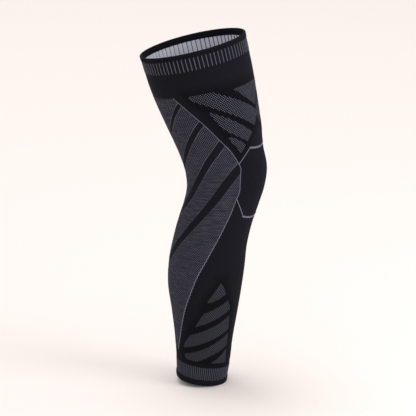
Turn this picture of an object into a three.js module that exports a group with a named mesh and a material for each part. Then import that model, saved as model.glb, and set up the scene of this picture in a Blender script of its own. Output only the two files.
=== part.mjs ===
// A knitted compression sleeve for one leg, mid-thigh to lower calf, in the shape that the leg gives it.
// Millimetres. The origin is the knee centre, +Z runs up the leg, -Y is the front, -X is the outer side.
// Every piece is a zone of the knit, cut from one leg form; "angle" is turned from the front midline
// towards the outer side, in degrees, and "level" is the height of a section's centre.

import * as THREE from "three";

// Walls and clearances
const PANEL_WALL = 1.4;
const BAND_WALL = 1.5;
const EDGE_ROLL = { outer: 0.8, inner: -1.7, points: 8, squareness: 0.5 };
const HEM_ROLL = { outer: 1.3, inner: -1.5, points: 8, squareness: 0.5 };
const GAP = 0.4;

// Levels where one zone of the knit ends and the next begins
const RIM_TOP = 186;
const RIM_BOTTOM = 178;
const RIB_BAND_BOTTOM = 160;
const THIGH_BAND_BOTTOM = 123.4;
const PANELS_BOTTOM = -285.5;
const CUFF_TOP = -304.5;
const HEM_TOP = -324.5;
const HEM_BOTTOM = -333.3;

// Ribs of the two bands: "part" is the place across one rib, outer and inner stand off the leg form.
// The thigh's ribs have a narrow crest outside and a broad pad inside; the cuff's rise and fall evenly.
const TOP_RIBS = {
  count: 78,
  steps: [
    { part: 0, outer: -0.2, inner: -1.9 },
    { part: 0.45, outer: -0.2, inner: -1.9 },
    { part: 0.72, outer: 0.5, inner: -1.3 },
  ],
};
const CUFF_RIBS = {
  count: 80,
  steps: [
    { part: 0, outer: -0.3, inner: -1.6 },
    { part: 0.5, outer: 0.3, inner: -1.6 },
  ],
};

// Raised lines between the panels
const CONTOUR_LINE = { width: 2.0, proud: 0.4 };
const KNEE_LINE = { width: 3.0, slant_width: 2.6, proud: 0.4 };

// Columns and rows that the zones are worked out on
const BACK_COLUMNS = 22;
const BAND_COLUMNS = 48;
const THIGH_BAND_ROWS = 3;
const KNEE_ROWS = 6;
const ANKLE_BAND_ROWS = 2;

// The leg form: setback is the centre's distance behind the knee centre, depth and width are half sizes
// front to back and across, egg is how far the front is narrower than the back, tilt lifts the front edge.
const SECTIONS = [
  { level: 186, setback: 52.7, depth: 79.7, width: 78.6, egg: 0.045, tilt: 14.5 },
  { level: 134, setback: 38.6, depth: 77.8, width: 75, egg: 0.02, tilt: 12.8 },
  { level: 81, setback: 22.1, depth: 71, width: 68, egg: 0.03, tilt: 11.9 },
  { level: 55, setback: 13.8, depth: 67.2, width: 64, egg: 0.05, tilt: 10 },
  { level: 28, setback: 6.6, depth: 62.7, width: 60, egg: 0.08, tilt: 7 },
  { level: 0, setback: -1, depth: 61.4, width: 57, egg: 0.1, tilt: 4 },
  { level: -28, setback: -0.5, depth: 58, width: 55.5, egg: 0.08, tilt: 2 },
  { level: -54, setback: 6.3, depth: 56, width: 54, egg: 0.08, tilt: 0 },
  { level: -81, setback: 15.3, depth: 55.4, width: 54, egg: 0.1, tilt: -1.5 },
  { level: -116, setback: 24.1, depth: 55.4, width: 55, egg: 0.12, tilt: -3 },
  { level: -152, setback: 29.6, depth: 56.8, width: 55.5, egg: 0.12, tilt: -4 },
  { level: -188, setback: 33.1, depth: 55.1, width: 53, egg: 0.1, tilt: -5 },
  { level: -228, setback: 33.9, depth: 49.3, width: 47, egg: 0.08, tilt: -5.5 },
  { level: -267, setback: 35.2, depth: 43.8, width: 41.5, egg: 0.06, tilt: -6.6 },
  { level: -299, setback: 36.1, depth: 40.9, width: 39, egg: 0.05, tilt: -8.5 },
  { level: -336, setback: 38.5, depth: 36.6, width: 38.7, egg: 0.05, tilt: -7.8 },
];

// The contour line on the outer side, from the thigh band round the knee to the ankle band
const CONTOUR = [
  { level: 123.4, angle: 104.7 },
  { level: 102.6, angle: 92.6 },
  { level: 79.5, angle: 79.6 },
  { level: 53.8, angle: 66.9 },
  { level: 36.2, angle: 56.6 },
  { level: 16.4, angle: 49.6 },
  { level: 10.3, angle: 48.9 },
  { level: 2.8, angle: 50.8 },
  { level: -9.2, angle: 52 },
  { level: -25, angle: 51.5 },
  { level: -34, angle: 53.6 },
  { level: -57.7, angle: 55.6 },
  { level: -87.2, angle: 60.1 },
  { level: -123.8, angle: 71.2 },
  { level: -156.4, angle: 83.6 },
  { level: -187.8, angle: 93.4 },
  { level: -222, angle: 107.2 },
  { level: -256, angle: 119.8 },
  { level: -285.5, angle: 132.4 },
];

// The six-sided knee panel: "share" is the part of the way from the front midline to the contour line
const KNEE_TOP = { middle: 31.5, corner: 34.8, corner_share: 0.472, side: 16.4 };
const KNEE_BOTTOM = { middle: -69.1, corner: -64.1, corner_share: 0.575, side: -34 };

// Shares of the front panels' columns and levels of the rows along the contour line
const FRONT_SHARES = [0, 0.16, 0.32, 0.472, 0.575, 0.72, 0.86, 1];
const THIGH_LEVELS = [123.4, 109, 95, 81, 67, 54, 41, 28, 16.4];
const SHIN_LEVELS = [
  -34, -48, -62, -76, -90, -105, -120, -135, -150, -165, -180, -195, -210, -225, -240, -255, -270, -285.5,
];

const radians = (degrees) => degrees * Math.PI / 180;
const mix = (from, to, part) => from + (to - from) * part;

// Smooth reading of one column of a table whose rows run from the highest level to the lowest
function readTable(table, column, level) {
  const last = table.length - 1;
  let row = 0;
  while (row < last - 1 && level < table[row + 1].level) {
    row += 1;
  }
  const stepSlope = (index) => {
    const rise = table[index + 1][column] - table[index][column];
    return rise / (table[index + 1].level - table[index].level);
  };
  const slopeAt = (index) => {
    if (index === 0) {
      return stepSlope(0);
    }
    if (index === last) {
      return stepSlope(last - 1);
    }
    const before = table[index].level - table[index - 1].level;
    const after = table[index + 1].level - table[index].level;
    return (stepSlope(index - 1) * after + stepSlope(index) * before) / (before + after);
  };
  const span = table[row + 1].level - table[row].level;
  const t = (level - table[row].level) / span;
  const start = (1 + 2 * t) * (1 - t) ** 2 * table[row][column] + t * (1 - t) ** 2 * span * slopeAt(row);
  const end = t * t * (3 - 2 * t) * table[row + 1][column] + t * t * (t - 1) * span * slopeAt(row + 1);
  return start + end;
}

// A point on the leg form, lifted off it by "proud"
function skinPoint(angle, level, proud) {
  const section = (column) => readTable(SECTIONS, column, level);
  const turn = radians(angle);
  const tilt = radians(section("tilt"));
  const across = (section("width") + proud) * Math.sin(turn) * (1 - section("egg") * Math.cos(turn));
  const forward = (section("depth") + proud) * Math.cos(turn);
  const y = section("setback") - forward * Math.cos(tilt);
  const z = level + forward * Math.sin(tilt);
  return new THREE.Vector3(-across, y, z);
}

// The angle that a length round the leg takes at a level
function angleOf(length, level) {
  const radius = (readTable(SECTIONS, "depth", level) + readTable(SECTIONS, "width", level)) / 2;
  return length / radius * 180 / Math.PI;
}

const contourAngle = (level) => readTable(CONTOUR, "angle", level);

function kneeTopLevel(share) {
  const side = Math.abs(share);
  if (side <= KNEE_TOP.corner_share) {
    return mix(KNEE_TOP.middle, KNEE_TOP.corner, (side / KNEE_TOP.corner_share) ** 2);
  }
  return mix(KNEE_TOP.corner, KNEE_TOP.side, (side - KNEE_TOP.corner_share) / (1 - KNEE_TOP.corner_share));
}

function kneeBottomLevel(share) {
  const side = Math.abs(share);
  if (side <= KNEE_BOTTOM.corner_share) {
    return mix(KNEE_BOTTOM.middle, KNEE_BOTTOM.corner, (side / KNEE_BOTTOM.corner_share) ** 2);
  }
  const part = (side - KNEE_BOTTOM.corner_share) / (1 - KNEE_BOTTOM.corner_share);
  return mix(KNEE_BOTTOM.corner, KNEE_BOTTOM.side, part);
}

function geometryOf(points, faces) {
  const geometry = new THREE.BufferGeometry();
  const numbers = points.flatMap((point) => [point.x, point.y, point.z]);
  geometry.setAttribute("position", new THREE.Float32BufferAttribute(numbers, 3));
  geometry.setIndex(faces);
  geometry.computeVertexNormals();
  return geometry;
}

// A closed wall over a grid of places; rows run down the leg and a ring's columns run all the way round.
// place(column, row) gives the angle, the level and how far the outer and inner faces stand off the form.
function wall(columns, rows, ring, place) {
  const across = ring ? columns : columns + 1;
  const points = [];
  for (const face of ["outer", "inner"]) {
    for (let row = 0; row <= rows; row += 1) {
      for (let column = 0; column < across; column += 1) {
        const spot = place(column, row);
        points.push(skinPoint(spot.angle, spot.level, spot[face]));
      }
    }
  }
  const layer = across * (rows + 1);
  const at = (column, row, face) => face * layer + row * across + column % across;
  const faces = [];
  const quad = (a, b, c, d) => faces.push(a, b, c, a, c, d);
  for (let column = 0; column < columns; column += 1) {
    const next = column + 1;
    for (let row = 0; row < rows; row += 1) {
      const below = row + 1;
      quad(at(column, row, 0), at(next, row, 0), at(next, below, 0), at(column, below, 0));
      quad(at(next, row, 1), at(column, row, 1), at(column, below, 1), at(next, below, 1));
    }
    quad(at(next, 0, 0), at(column, 0, 0), at(column, 0, 1), at(next, 0, 1));
    quad(at(column, rows, 0), at(next, rows, 0), at(next, rows, 1), at(column, rows, 1));
  }
  if (!ring) {
    for (let row = 0; row < rows; row += 1) {
      const below = row + 1;
      quad(at(0, row, 0), at(0, below, 0), at(0, below, 1), at(0, row, 1));
      quad(at(columns, below, 0), at(columns, row, 0), at(columns, row, 1), at(columns, below, 1));
    }
  }
  return geometryOf(points, faces);
}

// A plain ring of fabric between two levels
function plainBand(top, bottom, rows) {
  return wall(BAND_COLUMNS, rows, true, (column, row) => ({
    angle: column * 360 / BAND_COLUMNS,
    level: mix(top - GAP / 2, bottom + GAP / 2, row / rows),
    outer: 0,
    inner: -BAND_WALL,
  }));
}

// A ring of ribs between two levels
function ribBand(top, bottom, ribs) {
  return wall(ribs.count * ribs.steps.length, 1, true, (column, row) => {
    const step = ribs.steps[column % ribs.steps.length];
    const rib = Math.floor(column / ribs.steps.length);
    return {
      angle: (rib + step.part) * 360 / ribs.count,
      level: row === 0 ? top - GAP / 2 : bottom + GAP / 2,
      outer: step.outer,
      inner: step.inner,
    };
  });
}

// A ring with a rounded section, for the edges where the fabric is turned over
function rolledEdge(top, bottom, roll) {
  const points = [];
  const soften = (value) => Math.sign(value) * Math.abs(value) ** roll.squareness;
  for (let column = 0; column < BAND_COLUMNS; column += 1) {
    for (let step = 0; step < roll.points; step += 1) {
      const turn = (step + 0.5) * 2 * Math.PI / roll.points;
      const level = (top + bottom) / 2 + (top - bottom) / 2 * soften(Math.sin(turn));
      const proud = (roll.outer + roll.inner) / 2 + (roll.outer - roll.inner) / 2 * soften(Math.cos(turn));
      points.push(skinPoint(column * 360 / BAND_COLUMNS, level, proud));
    }
  }
  const at = (column, step) => (column % BAND_COLUMNS) * roll.points + step % roll.points;
  const faces = [];
  for (let column = 0; column < BAND_COLUMNS; column += 1) {
    for (let step = 0; step < roll.points; step += 1) {
      const a = at(column, step + 1);
      const b = at(column + 1, step + 1);
      const c = at(column + 1, step);
      const d = at(column, step);
      faces.push(a, b, c, a, c, d);
    }
  }
  return geometryOf(points, faces);
}

// The back panel runs round behind the leg from the outer contour line to the inner one
function backPanel() {
  const levels = [...THIGH_LEVELS, ...kneeSideLevels().slice(1, -1), ...SHIN_LEVELS];
  const rows = levels.length - 1;
  return wall(BACK_COLUMNS, rows, false, (column, row) => {
    const ends = (row === 0 ? -GAP / 2 : 0) + (row === rows ? GAP / 2 : 0);
    const level = levels[row] + ends;
    const edge = contourAngle(level) + angleOf(CONTOUR_LINE.width / 2 + GAP, level);
    return { angle: mix(edge, 360 - edge, column / BACK_COLUMNS), level, outer: 0, inner: -PANEL_WALL };
  });
}

// Levels of the knee panel's rows along the contour line
function kneeSideLevels() {
  const levels = [];
  for (let row = 0; row <= KNEE_ROWS; row += 1) {
    levels.push(mix(KNEE_TOP.side, KNEE_BOTTOM.side, row / KNEE_ROWS));
  }
  return levels;
}

const frontShares = [...FRONT_SHARES.slice(1).reverse().map((share) => -share), ...FRONT_SHARES];

// A front panel lies between the two contour lines; edges give its top and bottom level in each column
function frontPanel(sideLevels, topLevel, bottomLevel) {
  const rows = sideLevels.length - 1;
  const topSide = sideLevels[0];
  const bottomSide = sideLevels[rows];
  return wall(frontShares.length - 1, rows, false, (column, row) => {
    const share = frontShares[column];
    const part = (topSide - sideLevels[row]) / (topSide - bottomSide);
    const level = mix(topLevel(share), bottomLevel(share), part);
    const reach = contourAngle(level) - angleOf(CONTOUR_LINE.width / 2 + GAP, level);
    return { angle: share * reach, level, outer: 0, inner: -PANEL_WALL };
  });
}

// Half the height of a knee line: the level stretches run at full width, the slants are a little narrower
function kneeLineHalf(share, edge) {
  return (Math.abs(share) <= edge.corner_share ? KNEE_LINE.width : KNEE_LINE.slant_width) / 2;
}

// A strip along one end of the knee panel
function kneeLine(edgeLevel, edge) {
  return wall(frontShares.length - 1, 1, false, (column, row) => {
    const share = frontShares[column];
    const half = kneeLineHalf(share, edge);
    const level = edgeLevel(share) + (row === 0 ? half : -half);
    const reach = contourAngle(level) - angleOf(CONTOUR_LINE.width / 2 + GAP, level);
    return { angle: share * reach, level, outer: KNEE_LINE.proud, inner: -PANEL_WALL };
  });
}

// A strip along the contour line; side is 1 on the outer side and -1 on the inner one
function contourLine(side) {
  const levels = [...THIGH_LEVELS, ...kneeSideLevels().slice(1, -1), ...SHIN_LEVELS];
  const rows = levels.length - 1;
  return wall(1, rows, false, (column, row) => {
    const ends = (row === 0 ? -GAP / 2 : 0) + (row === rows ? GAP / 2 : 0);
    const level = levels[row] + ends;
    const half = angleOf(CONTOUR_LINE.width / 2, level);
    const angle = side * contourAngle(level) + (column === 0 ? -half : half);
    return { angle, level, outer: CONTOUR_LINE.proud, inner: -PANEL_WALL };
  });
}

const thighTop = () => THIGH_BAND_BOTTOM - GAP / 2;
const thighBottom = (share) => kneeTopLevel(share) + kneeLineHalf(share, KNEE_TOP) + GAP;
const kneeTop = (share) => kneeTopLevel(share) - kneeLineHalf(share, KNEE_TOP) - GAP;
const kneeBottom = (share) => kneeBottomLevel(share) + kneeLineHalf(share, KNEE_BOTTOM) + GAP;
const shinTop = (share) => kneeBottomLevel(share) - kneeLineHalf(share, KNEE_BOTTOM) - GAP;
const shinBottom = () => PANELS_BOTTOM + GAP / 2;

const YARNS = {
  black_yarn: { color: 0x1b1a1f, roughness: 0.9 },
  black_elastic: { color: 0x141317, roughness: 0.8 },
  grey_mesh: { color: 0x3a3a42, roughness: 0.9 },
  grey_line: { color: 0x5f606e, roughness: 0.85 },
  grey_rib: { color: 0x45454f, roughness: 0.9 },
};

const sleeve = new THREE.Group();
sleeve.name = "leg_compression_sleeve";

function addPiece(name, geometry, yarn) {
  const piece = new THREE.Mesh(geometry, new THREE.MeshStandardMaterial(YARNS[yarn]));
  piece.name = name;
  piece.material.name = yarn;
  sleeve.add(piece);
}

addPiece("top_rim", rolledEdge(RIM_TOP, RIM_BOTTOM + GAP / 2, EDGE_ROLL), "black_elastic");
addPiece("top_rib_band", ribBand(RIM_BOTTOM, RIB_BAND_BOTTOM, TOP_RIBS), "grey_rib");
addPiece("thigh_band", plainBand(RIB_BAND_BOTTOM, THIGH_BAND_BOTTOM, THIGH_BAND_ROWS), "black_yarn");
addPiece("thigh_front_panel", frontPanel(THIGH_LEVELS, thighTop, thighBottom), "black_yarn");
addPiece("knee_panel", frontPanel(kneeSideLevels(), kneeTop, kneeBottom), "black_yarn");
addPiece("shin_panel", frontPanel(SHIN_LEVELS, shinTop, shinBottom), "black_yarn");
addPiece("back_panel", backPanel(), "grey_mesh");
addPiece("contour_line_outer", contourLine(1), "grey_line");
addPiece("contour_line_inner", contourLine(-1), "grey_line");
addPiece("knee_line_upper", kneeLine(kneeTopLevel, KNEE_TOP), "grey_line");
addPiece("knee_line_lower", kneeLine(kneeBottomLevel, KNEE_BOTTOM), "grey_line");
addPiece("ankle_band", plainBand(PANELS_BOTTOM, CUFF_TOP, ANKLE_BAND_ROWS), "black_yarn");
addPiece("ankle_cuff", ribBand(CUFF_TOP, HEM_TOP, CUFF_RIBS), "grey_rib");
addPiece("ankle_hem", rolledEdge(HEM_TOP - GAP / 2, HEM_BOTTOM, HEM_ROLL), "black_elastic");

export default sleeve;
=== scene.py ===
import math

import bpy
import numpy as np
from mathutils import Matrix, Vector


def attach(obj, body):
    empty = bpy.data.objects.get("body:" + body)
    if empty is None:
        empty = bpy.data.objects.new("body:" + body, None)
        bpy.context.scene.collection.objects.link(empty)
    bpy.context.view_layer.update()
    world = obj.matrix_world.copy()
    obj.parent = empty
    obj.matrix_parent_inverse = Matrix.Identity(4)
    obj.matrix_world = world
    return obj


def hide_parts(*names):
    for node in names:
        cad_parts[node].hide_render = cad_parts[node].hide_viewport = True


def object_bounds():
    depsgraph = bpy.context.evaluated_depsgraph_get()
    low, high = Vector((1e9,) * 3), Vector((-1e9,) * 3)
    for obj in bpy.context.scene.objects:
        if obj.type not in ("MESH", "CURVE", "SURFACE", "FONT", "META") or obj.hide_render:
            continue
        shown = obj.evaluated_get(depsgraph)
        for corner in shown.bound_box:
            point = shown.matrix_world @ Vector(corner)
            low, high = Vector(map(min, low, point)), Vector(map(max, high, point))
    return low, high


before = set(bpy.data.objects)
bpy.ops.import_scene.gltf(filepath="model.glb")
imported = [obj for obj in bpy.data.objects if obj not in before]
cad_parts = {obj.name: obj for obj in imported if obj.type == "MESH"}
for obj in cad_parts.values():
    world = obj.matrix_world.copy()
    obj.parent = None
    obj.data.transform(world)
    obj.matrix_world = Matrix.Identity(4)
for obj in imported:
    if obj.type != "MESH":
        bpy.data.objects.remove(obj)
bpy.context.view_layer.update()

# A knitted compression sleeve for one leg, from the thigh to the lower calf, in the form that a leg gives it.
# Sizes are in millimetres and angles in degrees, and MM turns a size into the scene's metres.
# A turn is an angle round the leg, from the front midline towards the outer side.
# A level is the height of a cross section's centre above the middle of the knee.
MM = 0.001
BODY = "root"

# Cross sections of the leg, from the ankle up.
# setback is how far behind the knee's centre a section lies, depth and width are its half sizes,
# egg narrows its front, and tilt lifts its front edge.
SECTION_COLUMNS = ("level", "setback", "depth", "width", "egg", "tilt")
SECTION_ROWS = [
    (-336, 38.5, 36.6, 38.7, 0.05, -7.8),
    (-299, 36.1, 40.9, 39, 0.05, -8.5),
    (-267, 35.2, 43.8, 41.5, 0.06, -6.6),
    (-228, 33.9, 49.3, 47, 0.08, -5.5),
    (-188, 33.1, 55.1, 53, 0.1, -5),
    (-152, 29.6, 56.8, 55.5, 0.12, -4),
    (-116, 24.1, 55.4, 55, 0.12, -3),
    (-81, 15.3, 55.4, 54, 0.1, -1.5),
    (-54, 6.3, 56, 54, 0.08, 0),
    (-28, -0.5, 58, 55.5, 0.08, 2),
    (0, -1, 61.4, 57, 0.1, 4),
    (28, 6.6, 62.7, 60, 0.08, 7),
    (55, 13.8, 67.2, 64, 0.05, 10),
    (81, 22.1, 71, 68, 0.03, 11.9),
    (134, 38.6, 77.8, 75, 0.02, 12.8),
    (186, 52.7, 79.7, 78.6, 0.045, 14.5),
]
SECTIONS = dict(zip(SECTION_COLUMNS, np.array(SECTION_ROWS, float).T))

# Levels where one zone of the sleeve ends and the next begins, from the top down.
RIM_TOP = 186
RIM_BOTTOM = 178
RIB_BAND_BOTTOM = 160
THIGH_BAND_BOTTOM = 123.4
PANELS_BOTTOM = -285.5
CUFF_TOP = -304.5
HEM_TOP = -324.5
HEM_BOTTOM = -333.3

# The line between the front panels and the back panel, from the ankle up.
CONTOUR_BELOW_LEVELS = (-285.5, -256, -222, -187.8, -156.4, -123.8, -87.2, -57.7)
CONTOUR_BELOW_TURNS = (132.4, 119.8, 107.2, 93.4, 83.6, 71.2, 60.1, 55.6)
CONTOUR_ABOVE_LEVELS = (-34, -25, -9.2, 2.8, 10.3, 16.4, 36.2, 53.8, 79.5, 102.6, 123.4)
CONTOUR_ABOVE_TURNS = (53.6, 51.5, 52, 50.8, 48.9, 49.6, 56.6, 66.9, 79.6, 92.6, 104.7)
CONTOUR_LEVELS = CONTOUR_BELOW_LEVELS + CONTOUR_ABOVE_LEVELS
CONTOUR_TURNS = CONTOUR_BELOW_TURNS + CONTOUR_ABOVE_TURNS

# The six-sided knee panel: a share is how far across from the front midline (0) to the contour line (1).
KNEE_TOP = {"middle": 31.5, "corner": 34.8, "corner_share": 0.472, "side": 16.4}
KNEE_BOTTOM = {"middle": -69.1, "corner": -64.1, "corner_share": 0.575, "side": -34}

# Knitting: wales are columns of stitches and courses are rows.
# The stretches are how many times its relaxed size the knit has on the leg.
WALES = 252
COURSE_TO_WALE = 1.12
FABRIC_WALL = 1.4
LOOP_HEIGHT = 0.2
STRETCH_ROUND = 1.25
STRETCH_ALONG = 1.05

# Turned-over edges and ribbed bands: outer and inner are how far a face lies proud of the leg's skin,
# and drop is how much further down the turned-in side of an edge reaches.
RIM_ROLL = {"outer": 0.8, "inner": -2.4, "drop": 4.0}
HEM_ROLL = {"outer": 1.3, "inner": -1.5, "drop": 0.0}
ROLL_SQUARENESS = 0.55
RIB_GROUND = {"outer": -0.2, "inner": -1.3}
CUFF_GROUND = {"outer": -0.3, "inner": -1.6}

# Ribs: lean turns them away from the leg's length, and roll tips them over to one side.
# They run on under an edge by the underlap, and the twill keeps a margin to the ends of the rim.
# The pads inside the top band lie a lift off its ground and run on below it by a tail.
TOP_RIB = {"count": 79, "width": 1.4, "height": 0.7, "lean": 0, "roll": 0}
TOP_PAD = {"count": 70, "width": 6.6, "height": 0.45, "lean": 0, "roll": 8}
CUFF_RIB = {"count": 81, "width": 1.6, "height": 0.6, "lean": 0, "roll": 0}
RIM_TWILL = {"count": 250, "width": 1.1, "height": 0.14, "lean": 38, "roll": 0}
RIB_STITCH = 1.6
RIB_UNDERLAP = 3
TWILL_MARGIN = 1
PAD_LIFT = 0.2
PAD_TAIL = 9

# Raised lines of light yarn: swell is how many times as wide as its plain stitch a line is,
# and swing is the share of the zigzag that its stitches take.
CONTOUR_STITCH = {"pitch": 3.0, "length": 4.5, "width": 1.25, "height": 0.5}
CONTOUR_ZIGZAG = 25
CONTOUR_CHANGE_LEVELS = (-120, -60, 0, 60)
CONTOUR_SWELL = (1.2, 1.1, 0.95, 0.8)
CONTOUR_SWING = (1.0, 0.7, 0.0, 0.0)
KNEE_STITCH = {"pitch": 1.2, "length": 2.4, "width": 1.45, "height": 0.5}
KNEE_LINE_SWELL = 2.2
CONTOUR_POINTS = 240
KNEE_LINE_POINTS = 201

# Half the step over which directions on the skin are measured, in degrees and in millimetres.
PROBE = 0.5


def smooth_read(xs, ys, x):
    """Reads a short table as one smooth curve: xs rise, and a cubic joins each row to the next."""
    xs, ys = np.asarray(xs, float), np.asarray(ys, float)
    step = np.diff(xs)
    slope = np.diff(ys) / step
    between = (slope[:-1] * step[1:] + slope[1:] * step[:-1]) / (step[1:] + step[:-1])
    tangent = np.concatenate(([slope[0]], between, [slope[-1]]))
    k = np.clip(np.searchsorted(xs, x) - 1, 0, len(step) - 1)
    t = (x - xs[k]) / step[k]
    start = (1 + 2 * t) * (1 - t) ** 2 * ys[k] + t * (1 - t) ** 2 * step[k] * tangent[k]
    end = t * t * (3 - 2 * t) * ys[k + 1] + t * t * (t - 1) * step[k] * tangent[k + 1]
    return start + end


def leg_section(level):
    """The sizes of the cross section at a level."""
    return {name: smooth_read(SECTIONS["level"], SECTIONS[name], level) for name in SECTION_COLUMNS[1:]}


def leg_point(turn, level, proud=0.0):
    """Points on the leg's skin in metres, or that far proud of it."""
    section = leg_section(level)
    angle, tilt = np.radians(turn), np.radians(section["tilt"])
    across = (section["width"] + proud) * np.sin(angle) * (1 - section["egg"] * np.cos(angle))
    forward = (section["depth"] + proud) * np.cos(angle)
    back = section["setback"] - forward * np.cos(tilt)
    return np.stack((-across, back, level + forward * np.sin(tilt)), axis=-1) * MM


def unit(vectors):
    """The vectors at length one."""
    return vectors / np.linalg.norm(vectors, axis=-1, keepdims=True)


def leg_directions(turn, level):
    """Unit directions on the leg's skin: straight out of it, and down along it."""
    sideways = leg_point(turn + PROBE, level) - leg_point(turn - PROBE, level)
    down = leg_point(turn, level - PROBE) - leg_point(turn, level + PROBE)
    return unit(np.cross(sideways, down)), unit(down)


def girth(level):
    """The distance round the leg at a level."""
    section = leg_section(level)
    return 2 * math.pi * np.sqrt((section["depth"] ** 2 + section["width"] ** 2) / 2)


def contour_turn(level):
    """How far round the leg the contour line lies at a level."""
    return smooth_read(CONTOUR_LEVELS, CONTOUR_TURNS, np.clip(level, PANELS_BOTTOM, THIGH_BAND_BOTTOM))


def knee_edge(share, edge):
    """The level of an edge of the knee panel: bowed across the middle, then straight to the contour line."""
    bow = (share / edge["corner_share"]) ** 2
    slant = (share - edge["corner_share"]) / (1 - edge["corner_share"])
    across = edge["middle"] + (edge["corner"] - edge["middle"]) * bow
    aside = edge["corner"] + (edge["side"] - edge["corner"]) * slant
    return np.where(share < edge["corner_share"], across, aside)


def course_levels(top, bottom):
    """The levels of the courses from top to bottom: stitches keep their shape, so they follow the girth."""
    levels = [top]
    while levels[-1] > bottom:
        levels.append(levels[-1] - COURSE_TO_WALE * float(girth(levels[-1])) / WALES)
    levels = np.array(levels)
    return top + (levels - top) * (bottom - top) / (levels[-1] - top)


# The pattern that the knitting machine draws, nearly the same on both sides of the leg.
# Front of the thigh: a fan of grey patches, cut by black arcs, under the thigh band and over the knee panel.
# An arc's edges are level = base + slope * turn + bend * turn squared.
# On the inner side the fan comes a little further round to the front, most of all near the midline.
THIGH_TOP_TURNS = (35, 60)
THIGH_TOP_LEVELS = (121, 123.8)
THIGH_ROOF = {"apex": 73.7, "turn_per_level": 0.98}
THIGH_STRIPE_LEVELS = (31, 56, 69, 82, 96, 105, 115, 122)
THIGH_STRIPE_TURNS = (10.4, 11.4, 15, 16, 19, 16, 15, 17.7)
THIGH_INNER_LEAD = {"degrees": 8, "at_turn": 10}
THIGH_ARCS = [
    {"upper": (86.1, 0.804, 0.0058), "lower": (79.5, 0.796, -0.0007)},
    {"upper": (51.9, 0.801, -0.0004), "lower": (34.4, 1.126, -0.0032)},
    {"upper": (27.6, 0.476, 0.0035), "lower": (-30.6, 2.948, -0.025)},
]

# Front of the shin: a second fan, wider towards the ankle, with saw teeth along its arcs.
SHIN_TOP = -165.1
SHIN_BOTTOM = -296.3
SHIN_FRONT_LEVELS = (-296.4, -269.8, -245.1, -222.3, -210.4, -201.5, -195.1, -183.7, -165.1)
SHIN_FRONT_TURNS = (15.3, 16.7, 19.7, 22.8, 23.2, 26.7, 31, 35.7, 46.7)
SHIN_BACK_LEVELS = (-295.8, -289.7, -280.7, -270, -256.5, -236.1, -225.4, -215.1, -197.8, -165.1)
SHIN_BACK_TURNS = (108.3, 113.2, 115.6, 110, 98.3, 84.6, 77.6, 70.5, 66.9, 46.7)
SHIN_ARCS = [
    {"upper": (-147.4, -1.316, 0.0082), "lower": (-171.8, -0.846, 0.0032)},
    {"upper": (-194.8, -0.703, 0.0021), "lower": (-206.6, -0.639, 0.0014)},
    {"upper": (-232.7, -0.536, 0.0011), "lower": (-237.7, -0.637, 0.0016)},
    {"upper": (-262.8, -0.387, -0.0002), "lower": (-260.8, -0.847, 0.0038)},
]
SHIN_TOOTH = {"wales": 3, "height": 5.0, "mean": 0.28}

# Back panel: black bands that run down from the contour line and meet at the back in chevrons.
BACK_BANDS = [
    {
        "turn": (100, 110, 125, 137, 180),
        "upper": (117.7, 106.7, 87.8, 74.7, 24.7),
        "lower": (109.5, 98.8, 80.9, 68.3, 17.8),
    },
    {
        "turn": (80, 92, 107, 123, 133, 180),
        "upper": (89.7, 76.9, 60.2, 40.5, 29.1, -27.3),
        "lower": (78.9, 66.5, 48.8, 29, 18.3, -38.2),
    },
    {
        "turn": (62, 80, 100, 118, 133, 145, 180),
        "upper": (60.2, 40.2, 18, -4.6, -26.2, -44.8, -105.3),
        "lower": (44.8, 26.3, 4.3, -22.3, -48.8, -63.7, -114.7),
    },
    {
        "turn": (50, 64, 76, 90, 105, 122, 140, 180),
        "upper": (18.3, 7.3, -5.8, -28.9, -59.2, -91.3, -118.9, -178.9),
        "lower": (4.8, -11.9, -31.9, -58.4, -85.8, -112.3, -140.5, -190.5),
    },
]


# Each of these says how many millimetres a place lies inside a shape of the pattern, below zero outside it.
def inside_arcs(arcs, side, level):
    """Inside the black arcs of a fan."""
    depth = np.full(side.shape, -np.inf)
    for arc in arcs:
        edges = (arc["upper"], arc["lower"])
        upper, lower = (base + slope * side + bend * side**2 for base, slope, bend in edges)
        depth = np.maximum(depth, np.minimum(upper - level, level - lower))
    return depth


def inside_back_bands(side, level):
    """Inside the black bands of the back panel."""
    depth = np.full(side.shape, -np.inf)
    for band in BACK_BANDS:
        upper = smooth_read(band["turn"], band["upper"], side)
        lower = smooth_read(band["turn"], band["lower"], side)
        depth = np.maximum(depth, np.minimum(upper - level, level - lower))
    return depth


def inside_thigh_fan(side, level):
    """Inside the outline of the fan on the front of the thigh."""
    degree = girth(level) / 360
    top = np.interp(side, THIGH_TOP_TURNS, THIGH_TOP_LEVELS)
    stripe = np.interp(level, THIGH_STRIPE_LEVELS, THIGH_STRIPE_TURNS)
    roof = (THIGH_ROOF["apex"] - level) * THIGH_ROOF["turn_per_level"]
    across = np.minimum(contour_turn(level) - stripe - side, side - roof) * degree
    return np.minimum(top - level, across)


def inside_shin_fan(side, level):
    """Inside the outline of the fan on the front of the shin."""
    degree = girth(level) / 360
    near_front = np.interp(level, SHIN_FRONT_LEVELS, SHIN_FRONT_TURNS)
    near_back = np.interp(level, SHIN_BACK_LEVELS, SHIN_BACK_TURNS)
    across = np.minimum(side - near_front, near_back - side) * degree
    return np.minimum.reduce((SHIN_TOP - level, level - SHIN_BOTTOM, across))


def inside_shin_arcs(side, level):
    """Inside the black arcs of the shin, whose edges have saw teeth."""
    saw = side * WALES / 360 / SHIN_TOOTH["wales"] % 1
    tooth = SHIN_TOOTH["height"] * (np.abs(saw - 0.5) - SHIN_TOOTH["mean"])
    return inside_arcs(SHIN_ARCS, side, level + tooth)


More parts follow.
